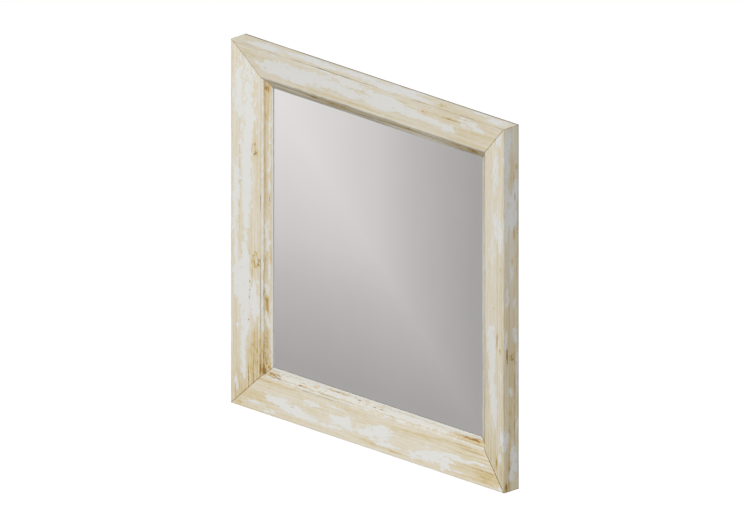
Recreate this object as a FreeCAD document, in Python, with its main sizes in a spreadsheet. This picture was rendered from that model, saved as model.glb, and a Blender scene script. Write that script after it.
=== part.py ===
"""Square wall mirror in a mitred pine frame with an inner slip, all lengths in millimetres.

The frame's back is the plane y = 0 while a piece is drawn, the front faces -Y and Z is up. Every piece is
then set forward by the height of the wall bumpers, so that the wall is the plane y = 0 of the assembly.
"""
import FreeCAD, Part
import Sketcher
import math
import os
from types import SimpleNamespace

Vector = FreeCAD.Vector

DIMENSIONS = (
    ("frame_side", 600, "outer width and height of the frame"),
    ("face_width", 53, "width of the sloping face, outer arris to bevel"),
    ("face_drop", 12, "how far the face falls back from arris to bevel"),
    ("bevel_width", 4, "width of the steeper bevel at the inner edge of the face"),
    ("bevel_drop", 3, "fall of that bevel"),
    ("nose_height", 2, "square nose under the bevel"),
    ("rebate_ledge", 13, "how far the main moulding overhangs its rebate"),
    ("arris_radius", 0.8, "rounding of the outer long edges of the main moulding"),
    ("slip_clearance", 0.4, "gap between slip and rebate wall"),
    ("band_width", 8.5, "width of the slip's hollow band"),
    ("band_drop", 4.7, "fall of the hollow band"),
    ("band_hollow", 0.5, "depth of the hollow under its chord"),
    ("bead_width", 4.2, "width of the flat lip beside the glass"),
    ("bead_drop", 0.6, "fall of that lip"),
    ("slip_edge", 2, "thickness of the lip at the glass"),
    ("glass_thickness", 4, "silvered pane"),
    ("glass_clearance", 2, "gap round the pane, filled by the spacers"),
    ("packing_thickness", 2, "packing card behind the silvering"),
    ("board_thickness", 3, "hardboard back"),
    ("board_clearance", 0.5, "gap round the back board"),
    ("spacer_length", 25, "edge spacer along the pane"),
    ("spacer_offset", 150, "edge spacer, from the middle of a side"),
    ("nail_leg", 8, "leg of a corner nail"),
    ("nail_sheet", 0.8, "thickness of a corner nail"),
    ("nail_height", 12, "depth of a corner nail in the wood"),
    ("nail_proud", 0.2, "corner nail standing out of the back"),
    ("outer_nail_setback", 13, "outer corner nail, from the outer edges"),
    ("inner_nail_setback", 31, "inner corner nail, from the outer edges"),
    ("button_reach", 20, "turn button, pivot to centre of the nose"),
    ("button_eye_radius", 5, "rounded pivot end of a turn button"),
    ("button_nose_radius", 3.2, "rounded nose of a turn button"),
    ("button_sheet", 1.5, "thickness of a turn button"),
    ("button_float", 0.1, "play of a turn button over and under"),
    ("button_play", 0.25, "radial play of a turn button on its screw"),
    ("button_setback", 10, "pivot of a turn button, from the rebate wall"),
    ("button_offset", 110, "pivot of a turn button, from the middle of a side"),
    ("screw_diameter", 3.5, "shank of every screw"),
    ("screw_length", 16, "screw under its head"),
    ("screw_fit", 0.05, "radial play of a shank in wood or strap"),
    ("head_diameter", 7, "flat round head of a screw"),
    ("head_height", 2.2, "height of that head"),
    ("strap_width", 13, "hanger strap"),
    ("strap_sheet", 1, "thickness of the hanger strap"),
    ("strap_drop", 40, "hanger strap, ring axis to lower end"),
    ("strap_corner", 4, "rounding of the strap's lower corners"),
    ("upper_screw_drop", 24, "upper hanger screw under the ring axis"),
    ("lower_screw_drop", 34, "lower hanger screw under the ring axis"),
    ("ring_stock", 2, "width and thickness of the D-ring's square stock"),
    ("ring_opening", 18, "inner width of the D-ring"),
    ("ring_corner", 3.5, "outer rounding between bar and leg"),
    ("ring_leg", 5, "ring axis to the start of the bow"),
    ("eye_clearance", 0.2, "radial play of the ring in the strap's eye"),
    ("hanger_setback", 22, "centre of a hanger from the outer edge"),
    ("hanger_height", 180, "ring axis above the middle of the mirror"),
    ("bumper_diameter", 16, "wall bumper"),
    ("bumper_height", 6, "wall bumper, the gap between frame and wall"),
    ("bumper_setback", 22, "centre of a bumper from the rail's outer edge"),
    ("bumper_inset", 70, "centre of a bumper from the side of the frame"),
    ("cut_overrun", 5, "how far a cut runs past the piece it shapes"),
)

QUARTER_TURN = 90
FULL_TURN = 360


class Size:
    """A length kept as its number and as the sheet formula that binds it."""

    def __init__(self, number, formula):
        self.number = float(number)
        self.formula = formula

    def __add__(self, other):
        return Size(self.number + other.number, f"({self.formula} + {other.formula})")

    def __sub__(self, other):
        return Size(self.number - other.number, f"({self.formula} - {other.formula})")

    def __mul__(self, other):
        return Size(self.number * other.number, f"({self.formula} * {other.formula})")

    def __truediv__(self, other):
        return Size(self.number / other.number, f"({self.formula} / {other.formula})")

    def __neg__(self):
        return Size(-self.number, f"(-1 * {self.formula})")

    def half(self):
        """Half of this length."""
        return Size(self.number / 2, f"({self.formula} / 2)")

    def root(self):
        """Square root of this value."""
        return Size(math.sqrt(self.number), f"sqrt({self.formula})")


doc = FreeCAD.newDocument("square_mirror")
sheet = doc.addObject("Spreadsheet::Sheet", "sizes")
for row, (alias, length, meaning) in enumerate(DIMENSIONS, start=1):
    sheet.set(f"A{row}", meaning)
    sheet.set(f"B{row}", str(length))
    sheet.setAlias(f"B{row}", alias)
doc.recompute()

dims = SimpleNamespace(**{alias: Size(getattr(sheet, alias), f"{sheet.Name}.{alias}")
                          for alias, length, meaning in DIMENSIONS})
NOTHING = Size(0, "0")
ONE = Size(1, "1")

# Depths, measured from the frame's back and negative towards the front.
packing_back = -dims.board_thickness
glass_back = packing_back - dims.packing_thickness
glass_front = glass_back - dims.glass_thickness
bead_front = glass_front - dims.slip_edge
band_back = bead_front - dims.bead_drop
slip_front = band_back - dims.band_drop
nose_front = slip_front - dims.nose_height
bevel_front = nose_front - dims.bevel_drop
frame_front = bevel_front - dims.face_drop

# Distances from the middle of the mirror to the long lines of one side.
outer_line = dims.frame_side.half()
bevel_line = outer_line - dims.face_width
nose_line = bevel_line - dims.bevel_width
rebate_line = nose_line + dims.rebate_ledge
slip_line = rebate_line - dims.slip_clearance
band_line = nose_line - dims.band_width
sight_line = band_line - dims.bead_width
glass_line = rebate_line - dims.glass_clearance
board_line = rebate_line - dims.board_clearance

ring_diagonal = (dims.ring_stock * dims.ring_stock + dims.ring_stock * dims.ring_stock).root()
eye_radius = ring_diagonal.half() + dims.eye_clearance
roll_radius = eye_radius + dims.strap_sheet
shank_radius = dims.screw_diameter.half()
pilot_radius = shank_radius + dims.screw_fit
button_seat = dims.button_float + dims.button_sheet + dims.button_float
button_line = rebate_line + dims.button_setback
hanger_line = outer_line - dims.hanger_setback

exports = []


def add(name, kind):
    """A new object of the document, kept as one piece of the mirror under its own name."""
    piece = doc.addObject(kind, name)
    piece.Label = name
    exports.append(piece)
    return piece


def sketch_on(body, role, name):
    """An empty sketch on one of the body's own origin planes."""
    sketch = body.newObject("Sketcher::SketchObject", f"{body.Name}_{name}")
    planes = [feature for feature in body.Origin.OriginFeatures if feature.Role == role]
    sketch.AttachmentSupport = [(planes[0], "")]
    sketch.MapMode = "FlatFace"
    return sketch


def pin(sketch, curve, end, point):
    """Hold one end or centre of a sketch curve at a point measured from the sketch origin."""
    for kind, axis, size in (("DistanceX", -2, point[0]), ("DistanceY", -1, point[1])):
        if size is NOTHING:
            sketch.addConstraint(Sketcher.Constraint("PointOnObject", curve, end, axis))
            continue
        ends = (-1, 1, curve, end)
        if size.number < 0:
            ends = (curve, end, -1, 1)
            size = -size
        number = sketch.addConstraint(Sketcher.Constraint(kind, *ends, size.number))
        sketch.setExpression(f"Constraints[{number}]", size.formula)


def bind_radius(sketch, curve, radius):
    """Bind the radius of an arc or circle to its formula."""
    number = sketch.addConstraint(Sketcher.Constraint("Radius", curve, radius.number))
    sketch.setExpression(f"Constraints[{number}]", radius.formula)


def outline(sketch, corners):
    """A closed outline. A corner is (x, y) for a straight side, or (x, y, radius, bow) for an arc to
    the next corner that bows to the left of the way (bow 1) or to its right (bow -1)."""
    ends = []
    for corner, following in zip(corners, corners[1:] + corners[:1]):
        here = Vector(corner[0].number, corner[1].number, 0)
        there = Vector(following[0].number, following[1].number, 0)
        if len(corner) == 2:
            curve = sketch.addGeometry(Part.LineSegment(here, there))
        else:
            radius, bow = corner[2:]
            chord = there - here
            flat = math.sqrt(max(radius.number ** 2 - chord.Length ** 2 / 4, 0))
            aside = Vector(-chord.y, chord.x, 0).normalize()
            middle = (here + there) / 2 + aside * (bow * (radius.number - flat))
            curve = sketch.addGeometry(Part.ArcOfCircle(here, middle, there))
        starts_here = (sketch.getPoint(curve, 1) - here).Length < (sketch.getPoint(curve, 2) - here).Length
        ends.append((curve, 1, 2) if starts_here else (curve, 2, 1))
    for side, corner in enumerate(corners):
        curve, start, finish = ends[side]
        previous, previous_start, previous_finish = ends[side - 1]
        sketch.addConstraint(Sketcher.Constraint("Coincident", previous, previous_finish, curve, start))
        pin(sketch, curve, start, corner)
        if len(corner) > 2:
            bind_radius(sketch, curve, corner[2])


def hole(sketch, centre, radius):
    """A round hole outline at a point of the sketch."""
    curve = sketch.addGeometry(Part.Circle(Vector(centre[0].number, centre[1].number, 0),
                                           Vector(0, 0, 1), radius.number))
    pin(sketch, curve, 3, centre)
    bind_radius(sketch, curve, radius)


def bow_radius(start, finish, rise):
    """Radius of the arc over a chord that rises a given height above the chord's middle."""
    across = (finish[0] - start[0]).half()
    along = (finish[1] - start[1]).half()
    return (across * across + along * along + rise * rise) / (rise + rise)


def pad(body, sketch, length, sides="One side", backwards=False, second=None):
    """Grow the body from a sketch."""
    feature = body.newObject("PartDesign::Pad", f"{sketch.Name}_pad")
    feature.Profile = sketch
    feature.SideType = sides
    feature.Reversed = backwards
    feature.setExpression("Length", length.formula)
    if second is not None:
        feature.setExpression("Length2", second.formula)
    doc.recompute()
    return feature


def cut(body, sketch, depth=None, forwards=False):
    """Cut a sketch out of the body: right through, or to a depth towards the back or the front."""
    before = body.Shape.Volume
    feature = body.newObject("PartDesign::Pocket", f"{sketch.Name}_cut")
    feature.Profile = sketch
    if depth is None:
        feature.Type = "ThroughAll"
        feature.SideType = "Symmetric"
    else:
        feature.Reversed = forwards
        feature.setExpression("Length", depth.formula)
    doc.recompute()
    if not body.Shape.Volume < before:
        raise RuntimeError(f"{feature.Name} cuts nothing")
    return feature


def turn(body, sketch):
    """Turn a sketch drawn on the XY plane round the Y axis."""
    feature = body.newObject("PartDesign::Revolution", f"{sketch.Name}_turned")
    feature.Profile = sketch
    feature.ReferenceAxis = (sketch, ["V_Axis"])
    feature.Angle = FULL_TURN
    doc.recompute()
    return feature


def soften(body, base, radius, chosen):
    """Round those edges of a feature that the given test picks out."""
    names = [f"Edge{number}" for number, edge in enumerate(base.Shape.Edges, start=1) if chosen(edge)]
    feature = body.newObject("PartDesign::Fillet", f"{base.Name}_soft")
    feature.Base = (base, names)
    feature.setExpression("Radius", radius.formula)
    doc.recompute()
    return feature


def quarter(x, z, quarters):
    """A point of the top side carried round to another side, seen from the back of the XZ plane."""
    for step in range(quarters):
        x, z = z, -x
    return x, z


def place(piece, x, y, z, quarters=0):
    """Put a piece at a point of the assembly, turned about Y by whole quarters."""
    spin = FreeCAD.Rotation(Vector(0, 1, 0), QUARTER_TURN * quarters)
    piece.Placement = FreeCAD.Placement(Vector(0, 0, 0), spin)
    forward = y - dims.bumper_height
    for axis, size in (("x", x), ("y", forward), ("z", z)):
        piece.setExpression(f"Placement.Base.{axis}", size.formula)


def group(name, shape, spots):
    """Several equal pieces as one node: the shape copied to each spot (x, y, z, quarter turns)."""
    copies = []
    for x, y, z, quarters in spots:
        spin = FreeCAD.Rotation(Vector(0, 1, 0), QUARTER_TURN * quarters)
        copy = shape.copy()
        copy.Placement = FreeCAD.Placement(Vector(x.number, y.number, z.number), spin)
        copies.append(copy)
    piece = add(name, "Part::Feature")
    piece.Shape = Part.makeCompound(copies)
    place(piece, NOTHING, NOTHING, NOTHING)
    return piece


def nail_corners(apex, hand):
    """The right-angled outline of a corner nail whose apex is on the mitre; hand -1 mirrors it in X."""
    tip = apex - dims.nail_leg
    inner = apex - dims.nail_sheet
    corners = ((apex, apex), (tip, apex), (tip, inner), (inner, inner), (inner, tip), (apex, tip))
    return [(x if hand > 0 else -x, z) for x, z in corners]


def mitre(body, inner, outer):
    """Saw both ends of a length at 45 degrees, along the diagonals through the middle of the mirror."""
    past = outer + dims.cut_overrun
    short = inner - dims.cut_overrun
    sketch = sketch_on(body, "XZ_Plane", "mitre")
    outline(sketch, [(short, short), (past, short), (past, past)])
    outline(sketch, [(-short, short), (-past, past), (-past, short)])
    return cut(body, sketch)


# Main mouldings. All four are the same length of sloping moulding, drawn as the top rail and turned round
# the middle of the mirror. The stiles also take the hanger screws.
nail_lines = (outer_line - dims.outer_nail_setback, outer_line - dims.inner_nail_setback)
hanger_screw_heights = (dims.hanger_height - dims.upper_screw_drop,
                        dims.hanger_height - dims.lower_screw_drop)
for quarters, (name, hanger_side) in enumerate((("top_rail", 0), ("right_stile", -1),
                                                ("bottom_rail", 0), ("left_stile", 1))):
    rail = add(name, "PartDesign::Body")
    profile = sketch_on(rail, "YZ_Plane", "profile")
    outline(profile, [(NOTHING, outer_line), (frame_front, outer_line), (bevel_front, bevel_line),
                      (nose_front, nose_line), (slip_front, nose_line), (slip_front, rebate_line),
                      (NOTHING, rebate_line)])
    length = pad(rail, profile, dims.frame_side, sides="Symmetric")
    rounded = ((NOTHING, outer_line), (frame_front, outer_line))
    soften(rail, length, dims.arris_radius, lambda edge: any(
        edge.BoundBox.XLength > dims.face_width.number
        and abs(edge.CenterOfMass.y - y.number) < dims.screw_fit.number
        and abs(edge.CenterOfMass.z - z.number) < dims.screw_fit.number for y, z in rounded))
    mitre(rail, nose_line, outer_line)
    slots = sketch_on(rail, "XZ_Plane", "nail_slots")
    for apex in nail_lines:
        for hand in (1, -1):
            outline(slots, nail_corners(apex, hand))
    cut(rail, slots, dims.nail_height, forwards=True)
    pilots = sketch_on(rail, "XZ_Plane", "pilot_holes")
    hole(pilots, (dims.button_offset, button_line), pilot_radius)
    hole(pilots, (-dims.button_offset, button_line), pilot_radius)
    if hanger_side:
        for height in hanger_screw_heights:
            hole(pilots, (height if hanger_side > 0 else -height, hanger_line), pilot_radius)
    cut(rail, pilots, dims.screw_length, forwards=True)
    place(rail, NOTHING, NOTHING, NOTHING, quarters)

# Slips. Each lies in the rebate against the back of the nose and shows its hollow band and lip in front of
# the glass; mitred on the same diagonals.
for quarters, name in enumerate(("top_slip", "right_slip", "bottom_slip", "left_slip")):
    slip = add(name, "PartDesign::Body")
    profile = sketch_on(slip, "YZ_Plane", "profile")
    band_start = (slip_front, nose_line)
    band_end = (band_back, band_line)
    hollow = bow_radius(band_start, band_end, dims.band_hollow)
    outline(profile, [(slip_front, slip_line), band_start + (hollow, 1), band_end,
                      (bead_front, sight_line), (glass_front, sight_line), (glass_front, slip_line)])
    pad(slip, profile, slip_line + slip_line, sides="Symmetric")
    mitre(slip, sight_line, slip_line)
    place(slip, NOTHING, NOTHING, NOTHING, quarters)

# Corner nails. Two right-angled steel nails across each mitre, driven in from the back.
nail = doc.addObject("PartDesign::Body", "nail")
nail_outline = sketch_on(nail, "XZ_Plane", "outline")
outline(nail_outline, nail_corners(NOTHING, 1))
pad(nail, nail_outline, dims.nail_height, sides="Two sides", second=dims.nail_proud)
group("corner_nails", nail.Shape, [(*spot[:1], NOTHING, *spot[1:], quarters)
                                   for quarters in range(4)
                                   for spot in [quarter(apex, apex, quarters) for apex in nail_lines]])


def sheet_piece(name, line, back, thickness):
    """A square sheet in the rebate, from one depth forward by its thickness."""
    piece = add(name, "Part::Box")
    piece.setExpression("Length", (line + line).formula)
    piece.setExpression("Width", thickness.formula)
    piece.setExpression("Height", (line + line).formula)
    place(piece, -line, back - thickness, -line)
    return piece


# The pane, the packing card and the board fill the rebate behind the slips, flush with the frame's back.
sheet_piece("mirror_glass", glass_line, glass_back, dims.glass_thickness)
sheet_piece("packing_sheet", glass_line, packing_back, dims.packing_thickness)
sheet_piece("back_board", board_line, NOTHING, dims.board_thickness)

# Edge spacers. Two soft blocks on each side keep the pane central in the rebate.
spacer = Part.makeBox(dims.spacer_length.number, dims.glass_thickness.number, dims.glass_clearance.number)
spacer_starts = (dims.spacer_offset - dims.spacer_length.half(),
                 -dims.spacer_offset - dims.spacer_length.half())
spacer_spots = [(quarter(start, glass_line, quarters), quarters)
                for quarters in range(4) for start in spacer_starts]
group("edge_spacers", spacer, [(x, glass_front, z, quarters) for (x, z), quarters in spacer_spots])

# Turn buttons. A stamped teardrop that pivots on its screw; the nose holds the back board in.
SIDES = ("top", "right", "bottom", "left")
ENDS = {0: ("right", "left"), 1: ("lower", "upper"), 2: ("left", "right"), 3: ("upper", "lower")}
taper = (dims.button_eye_radius - dims.button_nose_radius) / dims.button_reach
flank = (ONE - taper * taper).root()
eye_side = dims.button_eye_radius * flank
eye_drop = -dims.button_eye_radius * taper
nose_side = dims.button_nose_radius * flank
nose_drop = -dims.button_reach - dims.button_nose_radius * taper
nose_tip = -dims.button_reach - dims.button_nose_radius
pivots = []
for quarters, side in enumerate(SIDES):
    for end, along in zip(ENDS[quarters], (dims.button_offset, -dims.button_offset)):
        button = add(f"turn_button_{side}_{end}", "PartDesign::Body")
        shape = sketch_on(button, "XZ_Plane", "outline")
        outline(shape, [(NOTHING, dims.button_eye_radius, dims.button_eye_radius, 1),
                        (eye_side, eye_drop),
                        (nose_side, nose_drop, dims.button_nose_radius, 1),
                        (NOTHING, nose_tip, dims.button_nose_radius, 1),
                        (-nose_side, nose_drop),
                        (-eye_side, eye_drop, dims.button_eye_radius, 1)])
        hole(shape, (NOTHING, NOTHING), shank_radius + dims.button_play)
        pad(button, shape, dims.button_sheet, backwards=True)
        x, z = quarter(along, button_line, quarters)
        place(button, x, dims.button_float, z, quarters)
        pivots.append((x, button_seat, z, quarters))

# Screws. One kind of flat-topped wood screw, turned round its own axis with the seat of its head at zero.
screw = doc.addObject("PartDesign::Body", "screw")
contour = sketch_on(screw, "XY_Plane", "contour")
head_radius = dims.head_diameter.half()
outline(contour, [(NOTHING, dims.head_height), (head_radius, dims.head_height), (head_radius, NOTHING),
                  (shank_radius, NOTHING), (shank_radius, dims.screw_diameter - dims.screw_length),
                  (NOTHING, -dims.screw_length)])
turn(screw, contour)
group("turn_button_screws", screw.Shape, pivots)
group("hanger_screws", screw.Shape, [(line, dims.strap_sheet, height, 0)
                                     for line in (hanger_line, -hanger_line)
                                     for height in hanger_screw_heights])

# Hangers. A steel strap whose upper end is rolled round the straight bar of a stamped D-ring.
def d_shape(sketch, half_width, top, corner):
    """The outline of a D lying on its straight side: bar at the top, legs and a half-round bow below."""
    bar = half_width - corner
    shoulder = top - corner
    bow_start = -dims.ring_leg
    outline(sketch, [(NOTHING, top), (bar, top, corner, 1), (half_width, shoulder),
                     (half_width, bow_start, half_width, 1), (NOTHING, bow_start - half_width, half_width, 1),
                     (-half_width, bow_start), (-half_width, shoulder, corner, 1), (-bar, top)])


ring_inside = dims.ring_opening.half()
ring_outside = ring_inside + dims.ring_stock
for hand, line in (("right", hanger_line), ("left", -hanger_line)):
    strap = add(f"hanger_strap_{hand}", "PartDesign::Body")
    section = sketch_on(strap, "YZ_Plane", "section")
    outline(section, [(NOTHING, -dims.strap_drop),
                      (NOTHING, NOTHING, roll_radius, 1),
                      (roll_radius, roll_radius, roll_radius, 1),
                      (roll_radius + roll_radius, NOTHING, roll_radius, 1),
                      (roll_radius, -roll_radius),
                      (roll_radius, -eye_radius, eye_radius, -1),
                      (roll_radius + eye_radius, NOTHING, eye_radius, -1),
                      (roll_radius, eye_radius, eye_radius, -1),
                      (dims.strap_sheet, NOTHING),
                      (dims.strap_sheet, -dims.strap_drop)])
    strip = pad(strap, section, dims.strap_width, sides="Symmetric")
    soften(strap, strip, dims.strap_corner, lambda edge: (
        edge.BoundBox.XLength < dims.screw_fit.number and edge.BoundBox.ZLength < dims.screw_fit.number
        and abs(edge.CenterOfMass.z + dims.strap_drop.number) < dims.screw_fit.number))
    seats = sketch_on(strap, "XZ_Plane", "screw_holes")
    hole(seats, (NOTHING, -dims.upper_screw_drop), pilot_radius)
    hole(seats, (NOTHING, -dims.lower_screw_drop), pilot_radius)
    cut(strap, seats, dims.strap_sheet)
    place(strap, line, NOTHING, dims.hanger_height)

    ring = add(f"d_ring_{hand}", "PartDesign::Body")
    loop = sketch_on(ring, "XZ_Plane", "loop")
    d_shape(loop, ring_outside, dims.ring_stock.half(), dims.ring_corner)
    d_shape(loop, ring_inside, -dims.ring_stock.half(), dims.ring_corner - dims.ring_stock)
    pad(ring, loop, dims.ring_stock, sides="Symmetric")
    place(ring, line, roll_radius, dims.hanger_height)

# Wall bumpers. Die-cut rubber discs on the rails that hold the frame and its hangers off the wall.
bumper_height_line = outer_line - dims.bumper_setback
bumper_across_line = outer_line - dims.bumper_inset
for rail_side, height in (("top", bumper_height_line), ("bottom", -bumper_height_line)):
    for hand, across in (("right", bumper_across_line), ("left", -bumper_across_line)):
        bumper = add(f"wall_bumper_{rail_side}_{hand}", "PartDesign::Body")
        disc = sketch_on(bumper, "XZ_Plane", "disc")
        hole(disc, (NOTHING, NOTHING), dims.bumper_diameter.half())
        pad(bumper, disc, dims.bumper_height, backwards=True)
        place(bumper, across, NOTHING, height)

doc.recompute()
for piece in doc.Objects:
    if "Invalid" in piece.State or "Error" in piece.State:
        raise RuntimeError(f"{piece.Name} does not rebuild: {piece.State}")
os.makedirs("parts", exist_ok=True)
for piece in exports:
    if piece.Shape.isNull() or not piece.Shape.isValid():
        raise RuntimeError(f"{piece.Label} has no valid shape")
    piece.Shape.exportStep(f"parts/{piece.Label}.step")
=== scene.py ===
import bpy
import numpy as np
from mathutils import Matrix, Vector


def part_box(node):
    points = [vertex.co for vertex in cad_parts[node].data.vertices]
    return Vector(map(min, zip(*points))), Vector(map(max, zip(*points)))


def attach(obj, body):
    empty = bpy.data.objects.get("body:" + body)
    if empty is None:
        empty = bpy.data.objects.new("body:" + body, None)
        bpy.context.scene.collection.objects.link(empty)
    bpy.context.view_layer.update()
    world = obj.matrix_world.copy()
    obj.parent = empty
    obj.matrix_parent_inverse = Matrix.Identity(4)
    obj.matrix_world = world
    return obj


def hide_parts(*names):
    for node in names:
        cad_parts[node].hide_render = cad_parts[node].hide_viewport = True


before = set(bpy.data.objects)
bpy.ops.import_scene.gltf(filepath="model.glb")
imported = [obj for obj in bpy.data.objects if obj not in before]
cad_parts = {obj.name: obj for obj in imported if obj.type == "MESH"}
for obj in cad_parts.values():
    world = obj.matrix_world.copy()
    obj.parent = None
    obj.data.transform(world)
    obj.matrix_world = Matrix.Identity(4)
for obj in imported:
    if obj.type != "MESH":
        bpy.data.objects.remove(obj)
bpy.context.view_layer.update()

# Main mouldings. Four lengths of wide pine moulding that slope in to a small bevelled nose, rebated behind,
# mitred and glued. Brushed with whitewash and rubbed back by hand, so that bare wood, thin haze and a few
# full patches of white lie side by side.
MM = 0.001
rail_low, rail_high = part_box("top_rail")
slip_low, slip_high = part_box("top_slip")
HALF_SIDE = rail_high.z
FRAME_BACK = rail_high.y
LEDGE_DEPTH = slip_low.y
NOSE_INSET = HALF_SIDE - rail_low.z
REBATE_INSET = 44 * MM
NOSE_HEIGHT = 2 * MM
BEVEL_WIDTH = 4 * MM
BEVEL_DROP = 3 * MM
BEVEL_INSET = NOSE_INSET - BEVEL_WIDTH
FACE_DROP = 12 * MM
ARRIS_RADIUS = 0.8 * MM
INNER_EASE = 0.25 * MM
ACROSS_SPACING = 0.9 * MM
ALONG_SPACING = 1.5 * MM
JOINT_GAP = 0.03 * MM
GROOVE_HALF_WIDTH = 0.6 * MM
GROOVE_DEPTH = 0.15 * MM
MITRE_MARGIN = 3 * MM
MITRE_CROWD = 2 * MM
CROWD_SHARES = np.array([0, 0.1, 0.22, 0.4, 0.65, 1.0])
SIDES = ("top", "right", "bottom", "left")
SIDE_NAMES = {"top": "top_rail", "right": "right_stile", "bottom": "bottom_rail", "left": "left_stile"}
# Sense in which a side's own length runs along global X on the rails and global Z on the stiles.
SENSE = {"top": 1, "right": -1, "bottom": -1, "left": 1}

# Patches in millimetres: place along the side from its middle, place across the unrolled face from the front
# arris (negative on the outer edge), half length and half width, and a strength where it isn't full. WHITE is
# whitewash that still covers, BARE is where it was rubbed off, and STAIN is where the wood has browned.
WHITE = {
    "top": ((-200, 27, 45, 12), (-150, 24, 40, 14), (-95, 22, 40, 13), (-205, 36, 28, 5),
            (-160, 38, 25, 5), (-45, 28, 22, 9), (20, 30, 35, 11), (75, 26, 35, 9), (130, 29, 45, 6),
            (165, 32, 18, 6), (215, 12, 20, 9), (238, 17, 14, 5), (-60, 5, 35, 4), (-120, 4, 30, 3),
            (-215, 6, 16, 3), (-30, 12, 25, 5), (30, 15, 30, 6), (-235, -12, 35, 9), (-150, -18, 40, 9),
            (-100, -14, 25, 7), (-40, -20, 40, 8), (45, -10, 55, 9), (60, -24, 40, 6), (270, -18, 22, 8),
            (225, -26, 16, 4), (110, -8, 25, 5)),
    "right": ((-170, 27, 25, 8), (-140, 34, 35, 8), (-95, 34, 40, 8), (-58, 37, 28, 11), (115, 12, 22, 8),
              (138, 20, 24, 13, 0.8), (85, 36, 35, 7, 0.55), (212, 24, 24, 9, 0.75), (242, 22, 14, 5, 0.6),
              (278, 16, 16, 6), (-215, 7, 19, 7), (-110, 9, 6, 4), (-250, 10, 10, 3),
              (-213, -5.5, 15, 5.5), (-248, -22, 24, 9), (-274, -17, 12, 6), (-136, -15, 7, 4),
              (-190, -28, 12, 3), (-57, -4.5, 21, 3.2), (-48, -26, 10, 5), (-115, -28, 32, 4),
              (60, -17, 15, 3), (128, -6, 14, 4), (150, -16, 17, 14), (178, -21, 14, 10),
              (192, -27, 24, 5), (277, -7, 18, 8), (245, -6, 24, 6), (195, -5, 26, 4, 0.8),
              (10, -25, 8, 2), (30, -8, 20, 3)),
    "bottom": ((-247, 13, 18, 3), (-205, 27, 22, 6), (-170, 20, 32, 7), (-140, 15, 20, 5),
               (-130, 38, 20, 4), (-85, 13, 22, 3), (-78, 27, 18, 8), (-50, 26, 14, 10), (15, 24, 32, 8),
               (25, 36, 25, 6), (-15, 20, 15, 5), (115, 17, 25, 6), (150, 22, 30, 8), (168, 15, 14, 9),
               (200, 29, 35, 3), (235, 31, 25, 2.5), (290, 4, 8, 3), (195, 8, 15, 2), (-215, 6, 20, 2),
               (-60, 45, 30, 2), (95, 10, 12, 4), (40, 12, 25, 3)),
    "left": ((-215, 22, 35, 5), (-170, 27, 20, 6), (-130, 42, 32, 9), (-112, 25, 52, 9), (-88, 13, 34, 11),
             (-60, 27, 30, 6), (90, 28, 85, 8), (180, 31, 55, 6), (20, 26, 35, 5), (55, 8, 60, 5),
             (200, 14, 36, 10, 0.7), (195, 42, 35, 8, 0.4), (262, 24, 28, 9, 0.5), (250, 40, 25, 6, 0.4),
             (225, 12, 35, 6), (-265, 10, 20, 2.5), (-25, 8, 30, 4), (-172, 12, 5, 3),
             (150, 27, 130, 30, 0.26)),
}
BARE = {
    "top": ((100, 46, 120, 6), (-60, 48, 90, 4), (150, 12, 55, 5), (-150, 8, 70, 4)),
    "right": (),
    "bottom": ((70, 46, 60, 4), (-30, 46, 40, 4), (240, 42, 40, 8), (80, 25, 22, 12), (-15, 40, 20, 4)),
    "left": ((-205, 40, 38, 9), (-235, 33, 20, 6), (-30, 45, 40, 6), (60, 46, 70, 6), (-20, 33, 22, 3),
             (135, 7, 28, 4), (-285, 30, 15, 20), (-208, 57, 42, 5)),
}
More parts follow.
